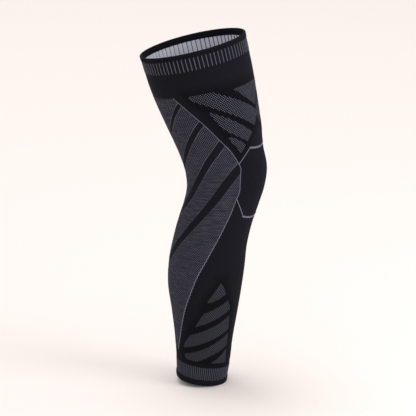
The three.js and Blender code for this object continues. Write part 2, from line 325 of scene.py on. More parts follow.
# The stitches of the plain tube between the two ribbed bands: one grid point is one stitch.
courses = course_levels(RIB_BAND_BOTTOM, CUFF_TOP)
stitch_turn, stitch_level = np.meshgrid(np.arange(WALES) * 360 / WALES, courses)
stitch_side = np.abs((stitch_turn + 180) % 360 - 180)
stitch_out = leg_directions(stitch_turn, stitch_level)[0]
outer_points = leg_point(stitch_turn, stitch_level)
inner_points = leg_point(stitch_turn, stitch_level, -FABRIC_WALL)

# How grey the knit is at each stitch: 0 on black, 1 on grey, and 0.5 on a zone's edge.
EDGE_REACH = 2.0


def zone_share(depth):
    """Depth inside a shape as a share: 0.5 on its edge, and 1 from EDGE_REACH inside it."""
    return np.clip(0.5 + depth / (2 * EDGE_REACH), 0, 1)


plain = np.zeros(stitch_level.shape)
off_front = stitch_side / THIGH_INNER_LEAD["at_turn"]
lead = np.where(stitch_turn > 180, THIGH_INNER_LEAD["degrees"] * off_front * np.exp(1 - off_front), 0)
thigh_fan = inside_thigh_fan(stitch_side + lead, stitch_level)
thigh_arcs = inside_arcs(THIGH_ARCS, stitch_side + lead, stitch_level)
thigh_grey = zone_share(np.minimum(thigh_fan, -thigh_arcs))
shin_fan = inside_shin_fan(stitch_side, stitch_level)
shin_arcs = inside_shin_arcs(stitch_side, stitch_level)
shin_grey = zone_share(np.minimum(shin_fan, -shin_arcs))
back_grey = zone_share(-inside_back_bands(stitch_side, stitch_level))

# In and round a fan the black is painted darker, as painted shade on the fans and the bands next to them.
SHADE_REACH = 15.0
painted_shade_black = np.clip(1 + np.maximum(thigh_fan, shin_fan) / SHADE_REACH, 0, 1)

# Towards the midline, behind the knee and down the back the mesh lies smoother, and its dots run together.
SMOOTH_FRONT = {"turn": (18, 48), "share": (1, 0)}
SMOOTH_KNEE = {"level": (-125, -85, -15, 30), "share": (0, 1, 1, 0)}
SMOOTH_BACK = {"turn": (85, 135), "share": (0, 0.6)}
smooth_front = np.interp(stitch_side, SMOOTH_FRONT["turn"], SMOOTH_FRONT["share"])
smooth_knee = np.interp(stitch_level, SMOOTH_KNEE["level"], SMOOTH_KNEE["share"])
smooth_back = np.interp(stitch_side, SMOOTH_BACK["turn"], SMOOTH_BACK["share"])
smooth_mesh = np.maximum.reduce((smooth_front, smooth_knee, smooth_back))

# A grey loop stands up at every second stitch.
every_second = np.add.outer(np.arange(len(courses)), np.arange(WALES)) % 2 == 0

# Cells between four stitches, shared out among the zones.
cell_side = np.abs((stitch_turn[:-1] + 180 / WALES + 180) % 360 - 180)
cell_level = (stitch_level[:-1] + stitch_level[1:]) / 2
cell_share = cell_side / contour_turn(cell_level)
between_bands = (cell_level < THIGH_BAND_BOTTOM) & (cell_level > PANELS_BOTTOM)
front_cells = between_bands & (cell_share <= 1)
above_knee = cell_level > knee_edge(cell_share, KNEE_TOP)
below_knee = cell_level < knee_edge(cell_share, KNEE_BOTTOM)


# Mesh helpers: faces that meet at more than this many degrees keep a sharp edge between them.
SHARP_EDGE = 50


def quad_mesh(name, points, quads):
    """A mesh of four-sided faces from arrays of points and of corner numbers."""
    mesh = bpy.data.meshes.new(name)
    mesh.vertices.add(len(points))
    mesh.vertices.foreach_set("co", np.ascontiguousarray(points, np.float32).ravel())
    mesh.loops.add(quads.size)
    mesh.loops.foreach_set("vertex_index", np.ascontiguousarray(quads, np.int32).ravel())
    mesh.polygons.add(len(quads))
    mesh.polygons.foreach_set("loop_start", np.arange(0, quads.size, 4, dtype=np.int32))
    mesh.update(calc_edges=True)
    return mesh


def path_mesh(name, points, closed):
    """A chain of edges through the points."""
    mesh = bpy.data.meshes.new(name)
    count = len(points)
    edges = [(k, (k + 1) % count) for k in range(count if closed else count - 1)]
    mesh.from_pydata(points.tolist(), edges, [])
    return mesh


def set_attribute(mesh, name, kind, domain, values):
    """Stores one value per point or face under a name that nodes can read."""
    layer = mesh.attributes.new(name, kind, domain)
    field = "vector" if kind == "FLOAT_VECTOR" else "value"
    layer.data.foreach_set(field, np.ascontiguousarray(values).ravel())


def set_stitch_map(mesh, wale_course):
    """Stores which wale and course each face corner lies on, as a UV map counted in stitches."""
    layer = mesh.uv_layers.new(name="stitches")
    layer.data.foreach_set("uv", np.ascontiguousarray(wale_course, np.float32).ravel())


def knit_mesh(name, cells, grey):
    """One zone of the tube as a closed wall: an outer face, an inner face and the edge that joins them."""
    course, wale = np.nonzero(cells)
    corner_course = course[:, None] + np.array([0, 0, 1, 1])
    corner_wale = wale[:, None] + np.array([0, 1, 1, 0])
    stitches = stitch_level.size
    outer = corner_course * WALES + corner_wale % WALES
    padded_cells = np.pad(cells, ((1, 1), (0, 0)))
    neighbours = (
        padded_cells[course, wale],
        cells[course, (wale + 1) % WALES],
        padded_cells[course + 2, wale],
        cells[course, wale - 1],
    )
    face_map = np.stack((corner_wale, corner_course), -1)
    quads = [outer, outer[:, ::-1] + stitches]
    maps = [face_map, face_map[:, ::-1]]
    for start, neighbour in enumerate(neighbours):
        bare = ~neighbour
        end = (start + 1) % 4
        first, last = outer[bare, start], outer[bare, end]
        quads.append(np.stack((last, first, first + stitches, last + stitches), -1))
        maps.append(face_map[bare][:, [end, start, start, end]])
    inside = np.concatenate([np.full(len(part), k == 1) for k, part in enumerate(quads)])
    quads = np.concatenate(quads)
    used, compact = np.unique(quads, return_inverse=True)
    both_faces = np.concatenate((outer_points.reshape(-1, 3), inner_points.reshape(-1, 3)))
    mesh = quad_mesh(name, both_faces[used], compact.reshape(quads.shape))
    set_stitch_map(mesh, np.concatenate(maps))
    set_attribute(mesh, "inside", "BOOLEAN", "FACE", inside)
    set_attribute(mesh, "out", "FLOAT_VECTOR", "POINT", np.tile(stitch_out.reshape(-1, 3), (2, 1))[used])
    by_stitch = {"loop": (grey > 0.5) & every_second, "grey_knit": grey, "painted_shade_black": painted_shade_black}
    by_stitch["smooth_mesh"] = smooth_mesh
    for label, of_stitch in by_stitch.items():
        values = np.concatenate((of_stitch.ravel(), np.zeros(stitches))).astype(np.float32)
        set_attribute(mesh, label, "FLOAT", "POINT", values[used])
    return mesh


def ring_wall_mesh(name, profile):
    """A closed band round the leg: profile is its section, as rows of level and proud, outer face first."""
    level, proud = np.array(profile, float).T
    turn = np.arange(WALES) * 360 / WALES
    points = leg_point(turn[None, :], level[:, None], proud[:, None])
    row, column = np.meshgrid(np.arange(len(level)), np.arange(WALES), indexing="ij")
    corner_row = row.reshape(-1, 1) + np.array([0, 0, 1, 1])
    corner_column = column.reshape(-1, 1) + np.array([0, 1, 1, 0])
    quads = corner_row % len(level) * WALES + corner_column % WALES
    mesh = quad_mesh(name, points.reshape(-1, 3), quads)
    set_stitch_map(mesh, np.stack((corner_column, corner_row), -1))
    return mesh


def rolled_profile(top, bottom, outer, inner, drop, points=20):
    """The section of a turned-over edge: a rounded oblong, from its top round the outer face.

    drop is how much further down the turned-in side reaches.
    """
    around = math.pi / 2 - np.arange(points) * 2 * math.pi / points
    rise, swell = np.sin(around), np.cos(around)
    low = bottom + drop * np.minimum(swell, 0)
    level = (top + low) / 2 + (top - low) / 2 * np.sign(rise) * np.abs(rise) ** ROLL_SQUARENESS
    rounded = np.sign(swell) * np.abs(swell) ** ROLL_SQUARENESS
    proud = (outer + inner) / 2 + (outer - inner) / 2 * rounded
    return np.stack((level, proud), -1)


def wall_profile(top, bottom, outer, inner, rows=8):
    """The section of a plain band of knit."""
    levels = np.linspace(top, bottom, rows)
    face = [(level, outer) for level in levels]
    reverse = [(level, inner) for level in levels[::-1]]
    return face + reverse


def ring_path(name, level, proud, points=360):
    """A closed path round the leg, which knows the way out of the leg and the way down it."""
    turn = np.arange(points) * 360 / points
    levels = np.full(points, float(level))
    out, down = leg_directions(turn, levels)
    mesh = path_mesh(name, leg_point(turn, levels, proud), closed=True)
    set_attribute(mesh, "out", "FLOAT_VECTOR", "POINT", out)
    set_attribute(mesh, "down", "FLOAT_VECTOR", "POINT", down)
    return mesh


def skin_path(name, turn, level, swell, swing):
    """An open path along the skin, which knows the way out of it and how its stitches swell and swing."""
    mesh = path_mesh(name, leg_point(turn, level), closed=False)
    set_attribute(mesh, "out", "FLOAT_VECTOR", "POINT", leg_directions(turn, level)[0])
    set_attribute(mesh, "swell", "FLOAT", "POINT", np.asarray(swell, np.float32))
    set_attribute(mesh, "swing", "FLOAT", "POINT", np.asarray(swing, np.float32))
    return mesh


# Node helpers, for shapes and for materials.
def node(tree, kind, inputs=None, **settings):
    """Adds one node: settings first, then each input as a link or a value."""
    made = tree.nodes.new(kind)
    for key, value in settings.items():
        setattr(made, key, value)
    for key, value in (inputs or {}).items():
        if isinstance(value, bpy.types.NodeSocket):
            tree.links.new(value, made.inputs[key])
        else:
            made.inputs[key].default_value = value
    return made


def shape_tree(name, sockets):
    """A Geometry Nodes tree with its named inputs: returns the tree and its input node."""
    tree = bpy.data.node_groups.new(name, "GeometryNodeTree")
    tree.interface.new_socket("Geometry", in_out="INPUT", socket_type="NodeSocketGeometry")
    for label, kind in sockets.items():
        tree.interface.new_socket(label, in_out="INPUT", socket_type="NodeSocket" + kind)
    tree.interface.new_socket("Geometry", in_out="OUTPUT", socket_type="NodeSocketGeometry")
    return tree, tree.nodes.new("NodeGroupInput")


def piece(name, mesh, material=None):
    """A finished mesh as an object of the sleeve, shaded smooth across everything but its sharp edges."""
    mesh.name = name
    mesh.polygons.foreach_set("use_smooth", np.ones(len(mesh.polygons), bool))
    mesh.set_sharp_from_angle(angle=math.radians(SHARP_EDGE))
    if material:
        mesh.materials.append(material)
    obj = bpy.data.objects.new(name, mesh)
    bpy.context.collection.objects.link(obj)
    return obj


def grown(name, source, tree, values):
    """The source mesh after a tree has worked on it, as a plain mesh object."""
    worker = bpy.data.objects.new(name + "_source", source)
    bpy.context.collection.objects.link(worker)
    modifier = worker.modifiers.new("shape", "NODES")
    modifier.node_group = tree
    identifiers = {item.name: item.identifier for item in tree.interface.items_tree if item.in_out == "INPUT"}
    for label, value in values.items():
        modifier[identifiers[label]] = value
    graph = bpy.context.evaluated_depsgraph_get()
    mesh = bpy.data.meshes.new_from_object(worker.evaluated_get(graph))
    worker.modifiers.clear()
    bpy.data.objects.remove(worker)
    bpy.data.meshes.remove(source)
    return piece(name, mesh)


# Shape trees: a rib and a stitch of unit size, and where and how far the end of a rib is drawn in.
RIB_BAR = {"Vertices": 8, "Side Segments": 8, "Radius": 0.5, "Depth": 1.0}
RIB_END = {"from": 0.46, "to": 0.5, "size": 0.6}
STITCH_GRAIN = {"Segments": 8, "Rings": 6, "Radius": 0.5}


def raised_loops_tree():
    """Lifts the grey loops out of the knit, and gives the reverse its own yarn."""
    sockets = {"Loop Height": "Float", "Face": "Material", "Reverse": "Material"}
    tree, given = shape_tree("raised_loops", sockets)
    read = "GeometryNodeInputNamedAttribute"
    loop = node(tree, read, {"Name": "loop"}, data_type="FLOAT").outputs["Attribute"]
    out = node(tree, read, {"Name": "out"}, data_type="FLOAT_VECTOR").outputs["Attribute"]
    inside = node(tree, read, {"Name": "inside"}, data_type="BOOLEAN").outputs["Attribute"]
    lift = {0: loop, 1: given.outputs["Loop Height"]}
    lift = node(tree, "ShaderNodeMath", lift, operation="MULTIPLY")
    offset = node(tree, "ShaderNodeVectorMath", {0: out, "Scale": lift.outputs[0]}, operation="SCALE")
    raised = {"Geometry": given.outputs["Geometry"], "Offset": offset.outputs[0]}
    raised = node(tree, "GeometryNodeSetPosition", raised)
    real = node(tree, "GeometryNodeRealizeInstances", {"Geometry": raised.outputs[0]})
    face = {"Geometry": real.outputs[0], "Material": given.outputs["Face"]}
    face = node(tree, "GeometryNodeSetMaterial", face)
    both = {"Geometry": face.outputs[0], "Selection": inside, "Material": given.outputs["Reverse"]}
    both = node(tree, "GeometryNodeSetMaterial", both)
    node(tree, "NodeGroupOutput", {0: both.outputs[0]})
    return tree


def ribs_round_tree():
    """Sets a count of ribs across a ring: they lean from the leg's length and roll over to one side."""
    sockets = {"Count": "Int", "Width": "Float", "Height": "Float", "Length": "Float"}
    sockets = {**sockets, "Lean": "Float", "Roll": "Float", "Stitch": "Float", "Yarn": "Material"}
    tree, given = shape_tree("ribs_round_the_leg", sockets)
    ring = node(tree, "GeometryNodeMeshToCurve", {"Mesh": given.outputs["Geometry"]})
    seats = {"Curve": ring.outputs[0], "Count": given.outputs["Count"]}
    seats = node(tree, "GeometryNodeResampleCurve", seats, mode="COUNT")
    bar = node(tree, "GeometryNodeMeshCylinder", RIB_BAR, fill_type="TRIANGLE_FAN")
    # The bar's own map runs from 0.5 to 1 along it, and here it counts stitches.
    count = {0: given.outputs["Length"], 1: given.outputs["Stitch"]}
    count = node(tree, "ShaderNodeMath", count, operation="DIVIDE")
    count = node(tree, "ShaderNodeCombineXYZ", {"X": 1.0, "Y": count.outputs[0]})
    count = {0: bar.outputs["UV Map"], 1: count.outputs[0]}
    count = node(tree, "ShaderNodeVectorMath", count, operation="MULTIPLY")
    bar = {"Geometry": bar.outputs["Mesh"], "Name": "stitches", "Value": count.outputs[0]}
    bar = node(tree, "GeometryNodeStoreNamedAttribute", bar, data_type="FLOAT2", domain="CORNER")
    # A rib has blunt round ends: its rings crowd towards them, and only the last ring is smaller.
    place = node(tree, "GeometryNodeInputPosition")
    along = node(tree, "ShaderNodeSeparateXYZ", {0: place.outputs[0]})
    crowd = node(tree, "ShaderNodeMath", {0: along.outputs["Z"], 1: math.pi}, operation="MULTIPLY")
    crowd = node(tree, "ShaderNodeMath", {0: crowd.outputs[0]}, operation="SINE")
    crowd = node(tree, "ShaderNodeMath", {0: crowd.outputs[0], 1: 0.5}, operation="MULTIPLY")
    off_end = node(tree, "ShaderNodeMath", {0: crowd.outputs[0]}, operation="ABSOLUTE")
    swell = {"Value": off_end.outputs[0], "From Min": RIB_END["to"], "From Max": RIB_END["from"]}
    swell = {**swell, "To Min": RIB_END["size"]}
    swell = node(tree, "ShaderNodeMapRange", swell).outputs[0]
    wide = node(tree, "ShaderNodeMath", {0: along.outputs["X"], 1: swell}, operation="MULTIPLY")
    thick = node(tree, "ShaderNodeMath", {0: along.outputs["Y"], 1: swell}, operation="MULTIPLY")
    shaped = {"X": wide.outputs[0], "Y": thick.outputs[0], "Z": crowd.outputs[0]}
    shaped = node(tree, "ShaderNodeCombineXYZ", shaped)
    bar = node(tree, "GeometryNodeSetPosition", {"Geometry": bar.outputs[0], "Position": shaped.outputs[0]})
    read = "GeometryNodeInputNamedAttribute"
    out = node(tree, read, {"Name": "out"}, data_type="FLOAT_VECTOR").outputs["Attribute"]
    down = node(tree, read, {"Name": "down"}, data_type="FLOAT_VECTOR").outputs["Attribute"]
    upright = {"Primary Axis": down, "Secondary Axis": out}
    upright = node(tree, "FunctionNodeAxesToRotation", upright, primary_axis="Z", secondary_axis="Y")
    lean = {"Axis": (0.0, 1.0, 0.0), "Angle": given.outputs["Lean"]}
    lean = node(tree, "FunctionNodeAxisAngleToRotation", lean)
    roll = {"Axis": (0.0, 0.0, 1.0), "Angle": given.outputs["Roll"]}
    roll = node(tree, "FunctionNodeAxisAngleToRotation", roll)
    leaning = {"Rotation": upright.outputs[0], "Rotate By": lean.outputs[0]}
    leaning = node(tree, "FunctionNodeRotateRotation", leaning, rotation_space="LOCAL")
    turned = {"Rotation": leaning.outputs[0], "Rotate By": roll.outputs[0]}
    turned = node(tree, "FunctionNodeRotateRotation", turned, rotation_space="LOCAL")
    thick = node(tree, "ShaderNodeMath", {0: given.outputs["Height"], 1: 2.0}, operation="MULTIPLY")
    size = {"X": given.outputs["Width"], "Y": thick.outputs[0], "Z": given.outputs["Length"]}
    size = node(tree, "ShaderNodeCombineXYZ", size)
    ribs = {"Points": seats.outputs[0], "Instance": bar.outputs[0]}
    ribs = {**ribs, "Rotation": turned.outputs[0], "Scale": size.outputs[0]}
    ribs = node(tree, "GeometryNodeInstanceOnPoints", ribs)
    real = node(tree, "GeometryNodeRealizeInstances", {"Geometry": ribs.outputs[0]})
    dressed = {"Geometry": real.outputs[0], "Material": given.outputs["Yarn"]}
    dressed = node(tree, "GeometryNodeSetMaterial", dressed)
    node(tree, "NodeGroupOutput", {0: dressed.outputs[0]})
    return tree


def stitches_along_tree():
    """Lays overlapping stitches along a path, leaning in turn to one side and the other."""
    sockets = {"Pitch": "Float", "Length": "Float", "Width": "Float", "Height": "Float", "Zigzag": "Float"}
    tree, given = shape_tree("stitches_along_a_line", {**sockets, "Yarn": "Material"})
    line = node(tree, "GeometryNodeMeshToCurve", {"Mesh": given.outputs["Geometry"]})
    seats = {"Curve": line.outputs[0], "Length": given.outputs["Pitch"]}
    seats = node(tree, "GeometryNodeResampleCurve", seats, mode="LENGTH")
    grain = node(tree, "GeometryNodeMeshUVSphere", STITCH_GRAIN)
    grain = {"Geometry": grain.outputs["Mesh"], "Name": "stitches", "Value": grain.outputs["UV Map"]}
    grain = node(tree, "GeometryNodeStoreNamedAttribute", grain, data_type="FLOAT2", domain="CORNER")
    read = "GeometryNodeInputNamedAttribute"
    out = node(tree, read, {"Name": "out"}, data_type="FLOAT_VECTOR").outputs["Attribute"]
    swell = node(tree, read, {"Name": "swell"}, data_type="FLOAT").outputs["Attribute"]
    tangent = node(tree, "GeometryNodeInputTangent").outputs[0]
    straight = {"Primary Axis": out, "Secondary Axis": tangent}
    straight = node(tree, "FunctionNodeAxesToRotation", straight, primary_axis="Z", secondary_axis="X")
    index = node(tree, "GeometryNodeInputIndex").outputs[0]
    parity = node(tree, "ShaderNodeMath", {0: index, 1: 2.0}, operation="MODULO")
    sign = node(tree, "ShaderNodeMath", {0: parity.outputs[0], 1: 2.0, 2: -1.0}, operation="MULTIPLY_ADD")
    swing = node(tree, read, {"Name": "swing"}, data_type="FLOAT").outputs["Attribute"]
    angle = node(tree, "ShaderNodeMath", {0: swing, 1: given.outputs["Zigzag"]}, operation="MULTIPLY")
    angle = node(tree, "ShaderNodeMath", {0: sign.outputs[0], 1: angle.outputs[0]}, operation="MULTIPLY")
    lean = {"Axis": (0.0, 0.0, 1.0), "Angle": angle.outputs[0]}
    lean = node(tree, "FunctionNodeAxisAngleToRotation", lean)
    turned = {"Rotation": straight.outputs[0], "Rotate By": lean.outputs[0]}
    turned = node(tree, "FunctionNodeRotateRotation", turned, rotation_space="LOCAL")
    wide = node(tree, "ShaderNodeMath", {0: given.outputs["Width"], 1: swell}, operation="MULTIPLY")
    thick = node(tree, "ShaderNodeMath", {0: given.outputs["Height"], 1: 2.0}, operation="MULTIPLY")
    size = {"X": given.outputs["Length"], "Y": wide.outputs[0], "Z": thick.outputs[0]}
    size = node(tree, "ShaderNodeCombineXYZ", size)
    stitches = {"Points": seats.outputs[0], "Instance": grain.outputs[0]}
    stitches = {**stitches, "Rotation": turned.outputs[0], "Scale": size.outputs[0]}
    stitches = node(tree, "GeometryNodeInstanceOnPoints", stitches)
    real = node(tree, "GeometryNodeRealizeInstances", {"Geometry": stitches.outputs[0]})
    dressed = {"Geometry": real.outputs[0], "Material": given.outputs["Yarn"]}
    dressed = node(tree, "GeometryNodeSetMaterial", dressed)
    node(tree, "NodeGroupOutput", {0: dressed.outputs[0]})
    return tree


# Materials. A Mix node keeps its colour sockets at these places.
MIX_A = 6
MIX_B = 7
MIX_RESULT = 2

# Finish: the size of the fibres, and the gloss, sheen, bump and roughness of the cloths and the paper.
FIBRE = 0.35
NYLON_IOR = 1.53
SHEEN = {"weight": 0.02, "roughness": 0.4, "tint": "#dcdce8"}
BUMP = {"strength": 0.5, "depth": 0.25}
JERSEY = {"gloss": 0.03, "smoothest": 0.7, "roughest": 0.95}
YARN = {"gloss": 0.04, "smoothest": 0.65, "roughest": 0.95}
PAPER = {"gloss": 0.1, "smoothest": 0.85, "roughest": 1.0, "tooth": 3, "dark": "#f9f3f0", "light": "#fbf5f2"}

# Jersey: its black and a darker black for painted shade, and the shares of grey at a zone's edge and in the
# last row before it.
# Tighter courses come in lengths of so many stitches, and a pair is the least and the most of a value.
BLACK = "#181920"
SHADE_BLACK = "#101016"
ZONE_EDGE = (0.45, 0.55)
LAST_ROW = {"share": 0.62, "reach": 0.12}
TENSION_LENGTHS = (14.0, 1.7, 1.0)
TENSION_NOISE = (0.3, 0.7)
TENSION_SHOWN = (0.4, 1.0)
SMOOTHEST = 0.55
DYE = (0.92, 1.08)
VEE_RELIEF = 0.8
LOOP_RELIEF = 0.5

# Spun yarn: how much the crown of a yarn counts in its painted shading, from painted shade in the furrows to
# a painted highlight on the crowns, and in its relief.
CROWN_SHADING = 1.2
SHADING_RANGE = (0.3, 1.2)
CROWN_RELIEF = 1.5


def linear(colour):
    """An sRGB hex colour as the linear colour that shaders take."""
    parts = [int(colour[k : k + 2], 16) / 255 for k in (1, 3, 5)]
    return tuple(c / 12.92 if c <= 0.04045 else ((c + 0.055) / 1.055) ** 2.4 for c in parts) + (1.0,)


def cloth(name, gloss):
    """A new material with the sockets that are the same all over: returns it, its tree and its shader."""
    material = bpy.data.materials.new(name)
    material.use_nodes = True
    tree = material.node_tree
    shader = tree.nodes["Principled BSDF"]
    shader.inputs["IOR"].default_value = NYLON_IOR
    shader.inputs["Specular IOR Level"].default_value = gloss
    shader.inputs["Sheen Weight"].default_value = SHEEN["weight"]
    shader.inputs["Sheen Roughness"].default_value = SHEEN["roughness"]
    shader.inputs["Sheen Tint"].default_value = linear(SHEEN["tint"])
    return material, tree, shader


def fibre_fuzz(tree):
    """A fine grain of yarn fibres, from 0 to 1."""
    place = node(tree, "ShaderNodeTexCoord").outputs["Object"]
    grain = {"Vector": place, "Scale": 1 / (FIBRE * MM), "Detail": 2.0}
    return node(tree, "ShaderNodeTexNoise", grain).outputs[0]


def finish_cloth(tree, shader, relief, fuzz, finish):
    """Gives a cloth its fine relief and its uneven roughness."""
    rough = {"Value": fuzz, "To Min": finish["smoothest"], "To Max": finish["roughest"]}
    rough = node(tree, "ShaderNodeMapRange", rough)
    tree.links.new(rough.outputs[0], shader.inputs["Roughness"])
    bump = {"Height": relief, "Strength": BUMP["strength"], "Distance": BUMP["depth"] * MM}
    bump = node(tree, "ShaderNodeBump", bump)
    tree.links.new(bump.outputs[0], shader.inputs["Normal"])


def jacquard_knit(
    name, ground, yarn, dot_radius, streak, repeat=2.0, soft=0.06, edge=0.0, tension=0.14, blend=None
):
    """Nylon and elastane jersey, knitted with a bird's-eye or a twill of grey stitches on black.

    To the eye it is matt near-black with a soft grey edge light, and each grey loop is a small raised dot.
    A grey stitch comes once in each repeat along both diagonals, and dot_radius is a share of that repeat.
    A streak below 1 stretches the dots along one diagonal, and at 0 they run together into a twill.
    ground is the yarn between the dots, and edge is how grey the last row before a black band is.
    tension is how much tighter courses change the tone, and blend is the tone where the dots run together.
    """
    material, tree, shader = cloth(name, JERSEY["gloss"])
    stitch = node(tree, "ShaderNodeUVMap", uv_map="stitches").outputs[0]
    axes = node(tree, "ShaderNodeSeparateXYZ", {0: stitch})
    wale, course = axes.outputs["X"], axes.outputs["Y"]
    total = node(tree, "ShaderNodeMath", {0: wale, 1: course}, operation="ADD")
    rising = node(tree, "ShaderNodeMath", {0: total.outputs[0], 1: repeat}, operation="DIVIDE")
    change = node(tree, "ShaderNodeMath", {0: wale, 1: course}, operation="SUBTRACT")
    falling = node(tree, "ShaderNodeMath", {0: change.outputs[0], 1: repeat}, operation="DIVIDE")
    off_rising = node(tree, "ShaderNodeMath", {0: rising.outputs[0], 1: 0.5}, operation="PINGPONG")
    off_falling = node(tree, "ShaderNodeMath", {0: falling.outputs[0], 1: 0.5}, operation="PINGPONG")
    shorter = node(tree, "ShaderNodeMath", {0: off_falling.outputs[0], 1: streak}, operation="MULTIPLY")
    offset = node(tree, "ShaderNodeCombineXYZ", {"X": off_rising.outputs[0], "Y": shorter.outputs[0]})
    distance = node(tree, "ShaderNodeVectorMath", {0: offset.outputs[0]}, operation="LENGTH").outputs["Value"]
    dot = {"Value": distance, "From Min": dot_radius + soft, "From Max": dot_radius - soft}
    dot = node(tree, "ShaderNodeMapRange", dot, interpolation_type="SMOOTHSTEP")
    zone = node(tree, "ShaderNodeAttribute", attribute_name="grey_knit").outputs["Fac"]
    in_zone = {"Value": zone, "From Min": ZONE_EDGE[0], "From Max": ZONE_EDGE[1]}
    in_zone = node(tree, "ShaderNodeMapRange", in_zone, interpolation_type="SMOOTHSTEP")
    at_edge = {0: zone, 1: LAST_ROW["share"], 2: LAST_ROW["reach"]}
    at_edge = node(tree, "ShaderNodeMath", at_edge, operation="COMPARE")
    at_edge = node(tree, "ShaderNodeMath", {0: at_edge.outputs[0], 1: edge}, operation="MULTIPLY")
    grey = {0: dot.outputs[0], 1: at_edge.outputs[0]}
    grey = node(tree, "ShaderNodeMath", grey, operation="MAXIMUM").outputs[0]
    mesh = {0: grey, MIX_A: linear(ground), MIX_B: linear(yarn)}
    mesh = node(tree, "ShaderNodeMix", mesh, data_type="RGBA").outputs[MIX_RESULT]
    smooth = node(tree, "ShaderNodeAttribute", attribute_name="smooth_mesh").outputs["Fac"]
    if blend:
        blended = node(tree, "ShaderNodeMath", {0: smooth, 1: SMOOTHEST}, operation="MULTIPLY").outputs[0]
        mesh = {0: blended, MIX_A: mesh, MIX_B: linear(blend)}
        mesh = node(tree, "ShaderNodeMix", mesh, data_type="RGBA").outputs[MIX_RESULT]
    # Short lengths of a course are pulled tighter and show less of the grey, most of all in a smooth mesh.
    lengths = {0: stitch, 1: TENSION_LENGTHS}
    lengths = node(tree, "ShaderNodeVectorMath", lengths, operation="DIVIDE").outputs[0]
    pull = node(tree, "ShaderNodeTexNoise", {"Vector": lengths, "Scale": 1.0, "Detail": 1.0}).outputs[0]
    pull = {"Value": pull, "From Min": TENSION_NOISE[0], "From Max": TENSION_NOISE[1]}
    pull = {**pull, "To Min": 1 - tension, "To Max": 1 + tension}
    pull = node(tree, "ShaderNodeMapRange", pull).outputs[0]
    shown = {"Value": smooth, "To Min": TENSION_SHOWN[0], "To Max": TENSION_SHOWN[1]}
    shown = node(tree, "ShaderNodeMapRange", shown).outputs[0]
    mesh = {0: shown, MIX_A: mesh, MIX_B: pull}
    mesh = node(tree, "ShaderNodeMix", mesh, data_type="RGBA", blend_type="MULTIPLY").outputs[MIX_RESULT]
    # Painted shade: in and round a fan the black is mixed towards a darker black.
    shaded = node(tree, "ShaderNodeAttribute", attribute_name="painted_shade_black").outputs["Fac"]
    black = {0: shaded, MIX_A: linear(BLACK), MIX_B: linear(SHADE_BLACK)}
    black = node(tree, "ShaderNodeMix", black, data_type="RGBA").outputs[MIX_RESULT]
    colour = {0: in_zone.outputs[0], MIX_A: black, MIX_B: mesh}
    colour = node(tree, "ShaderNodeMix", colour, data_type="RGBA").outputs[MIX_RESULT]
    # Each stitch takes the dye a little differently.
    cell = node(tree, "ShaderNodeVectorMath", {0: stitch}, operation="FLOOR")
    dye = node(tree, "ShaderNodeTexWhiteNoise", {"Vector": cell.outputs[0]}, noise_dimensions="2D").outputs[0]
    dye = {"Value": dye, "To Min": DYE[0], "To Max": DYE[1]}
    dye = node(tree, "ShaderNodeMapRange", dye).outputs[0]
    dyed = {0: 1.0, MIX_A: colour, MIX_B: dye}
    dyed = node(tree, "ShaderNodeMix", dyed, data_type="RGBA", blend_type="MULTIPLY").outputs[MIX_RESULT]
    tree.links.new(dyed, shader.inputs["Base Color"])
    # The two legs of a plain stitch form a V, too fine to show except close up.
    leg = node(tree, "ShaderNodeMath", {0: wale, 1: 0.5}, operation="PINGPONG")
    slant = node(tree, "ShaderNodeMath", {0: leg.outputs[0], 1: course}, operation="ADD")
    vee = node(tree, "ShaderNodeMath", {0: slant.outputs[0], 1: 0.5}, operation="PINGPONG").outputs[0]
    fuzz = fibre_fuzz(tree)
    relief = {0: vee, 1: VEE_RELIEF, 2: fuzz}
    relief = node(tree, "ShaderNodeMath", relief, operation="MULTIPLY_ADD").outputs[0]
    loop = node(tree, "ShaderNodeMath", {0: grey, 1: in_zone.outputs[0]}, operation="MULTIPLY").outputs[0]
    relief = {0: loop, 1: LOOP_RELIEF, 2: relief}
    relief = node(tree, "ShaderNodeMath", relief, operation="MULTIPLY_ADD").outputs[0]
    finish_cloth(tree, shader, relief, fuzz, JERSEY)
    return material


def plain_yarn(name, dark, light, across, along):
    """Spun nylon yarn in one colour, packed side by side, with painted shade in the furrows and a painted
    highlight on the crowns.

    across and along are how many stitches of the piece's map one yarn takes up each way. A piece without
    a map shows only the fibres.
    """
    material, tree, shader = cloth(name, YARN["gloss"])
    stitch = node(tree, "ShaderNodeUVMap", uv_map="stitches").outputs[0]
    axes = node(tree, "ShaderNodeSeparateXYZ", {0: stitch})
    yarn = node(tree, "ShaderNodeMath", {0: axes.outputs["X"], 1: across}, operation="DIVIDE")
    twist = node(tree, "ShaderNodeMath", {0: axes.outputs["Y"], 1: along}, operation="DIVIDE")
    lay = node(tree, "ShaderNodeMath", {0: yarn.outputs[0], 1: twist.outputs[0]}, operation="ADD")
    crown = node(tree, "ShaderNodeMath", {0: lay.outputs[0], 1: 0.5}, operation="PINGPONG").outputs[0]
    fuzz = fibre_fuzz(tree)
    # Painted shade in the furrows and a painted highlight on the crowns, with the fibres' random grain.
    crown_shading = {0: crown, 1: CROWN_SHADING, 2: fuzz}
    crown_shading = node(tree, "ShaderNodeMath", crown_shading, operation="MULTIPLY_ADD").outputs[0]
    crown_shading = {"Value": crown_shading, "From Min": SHADING_RANGE[0], "From Max": SHADING_RANGE[1]}
    crown_shading = node(tree, "ShaderNodeMapRange", crown_shading).outputs[0]
    colour = {0: crown_shading, MIX_A: linear(dark), MIX_B: linear(light)}
    colour = node(tree, "ShaderNodeMix", colour, data_type="RGBA").outputs[MIX_RESULT]
    tree.links.new(colour, shader.inputs["Base Color"])
    relief = {0: crown, 1: CROWN_RELIEF, 2: fuzz}
    relief = node(tree, "ShaderNodeMath", relief, operation="MULTIPLY_ADD").outputs[0]
    finish_cloth(tree, shader, relief, fuzz, YARN)
    return material


